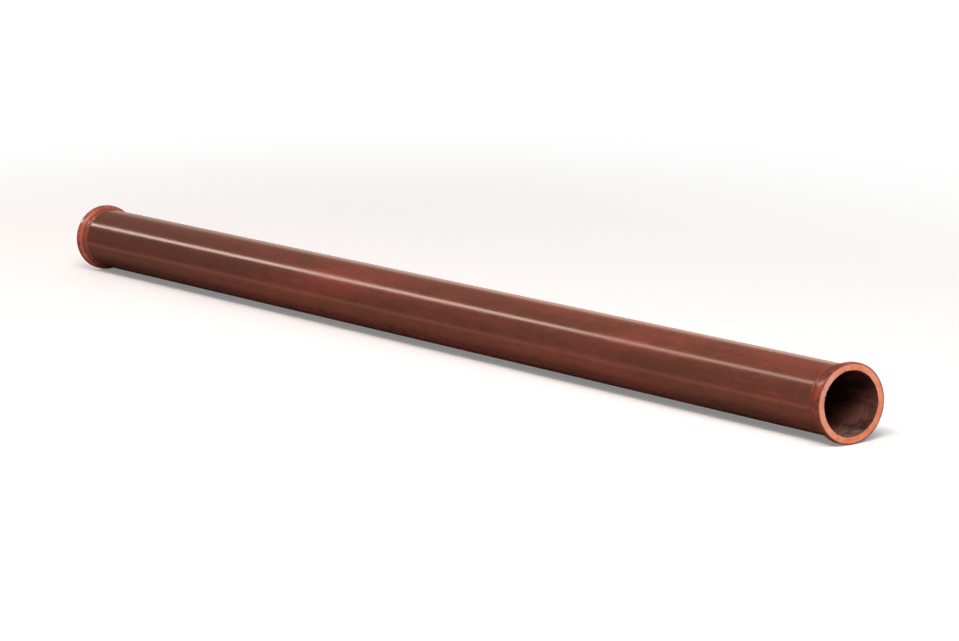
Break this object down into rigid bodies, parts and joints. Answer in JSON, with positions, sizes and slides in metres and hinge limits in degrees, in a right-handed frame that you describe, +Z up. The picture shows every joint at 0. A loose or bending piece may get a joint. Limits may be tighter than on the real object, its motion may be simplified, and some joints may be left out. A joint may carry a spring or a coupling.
{
  "type": "concrete delivery pipe",
  "caption": "Straight painted steel pipe for pumped concrete, with a raised coupling collar welded on each end and one clear bore.",
  "frame": {"origin": "on the floor under the middle of the pipe, which lies on its two collars", "axes": "+X along the bore axis towards the front collar, +Z up"},
  "size_m": [3, 0.157, 0.157],
  "materials": {
    "tube_paint": "glossy red-brown paint",
    "collar_paint": "glossy red oxide paint, scuffed at the end face"
  },
  "bodies": {
    "root": {"tube": "tube_paint", "collar_front": "collar_paint", "collar_rear": "collar_paint"}
  },
  "joints": []
}
